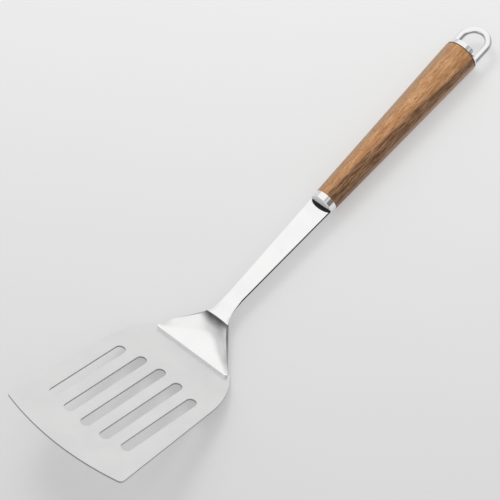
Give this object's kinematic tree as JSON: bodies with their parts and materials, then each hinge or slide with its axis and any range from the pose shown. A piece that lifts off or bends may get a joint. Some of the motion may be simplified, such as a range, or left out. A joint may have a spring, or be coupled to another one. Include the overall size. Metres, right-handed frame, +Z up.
{
  "type": "grill spatula",
  "caption": "Long grill spatula: slotted sheet steel blade, cranked flat shank, tapered round wooden grip with a steel ferrule and a fixed hanging loop.",
  "frame": {"origin": "centre of the bounding box at table height, with the tool lying at rest blade face up", "axes": "+X from the blade's front edge to the hanging loop, +Y across the blade, +Z up from the table"},
  "size_m": [0.4562, 0.1082, 0.0615],
  "materials": {
    "satin_steel": "satin sheet",
    "polished_steel": "mirror polished",
    "bright_fittings": "polished",
    "grip_wood": "oiled, satin, straight grain",
    "plated_fixings": "zinc plated"
  },
  "bodies": {
    "root": {"blade": "satin_steel", "shank": "polished_steel", "ferrule": "bright_fittings", "grip": "grip_wood", "tie_rod": "plated_fixings", "clamp_washer": "plated_fixings", "clamp_nut": "plated_fixings", "end_cap": "bright_fittings", "hanging_loop": "bright_fittings"}
  },
  "joints": []
}
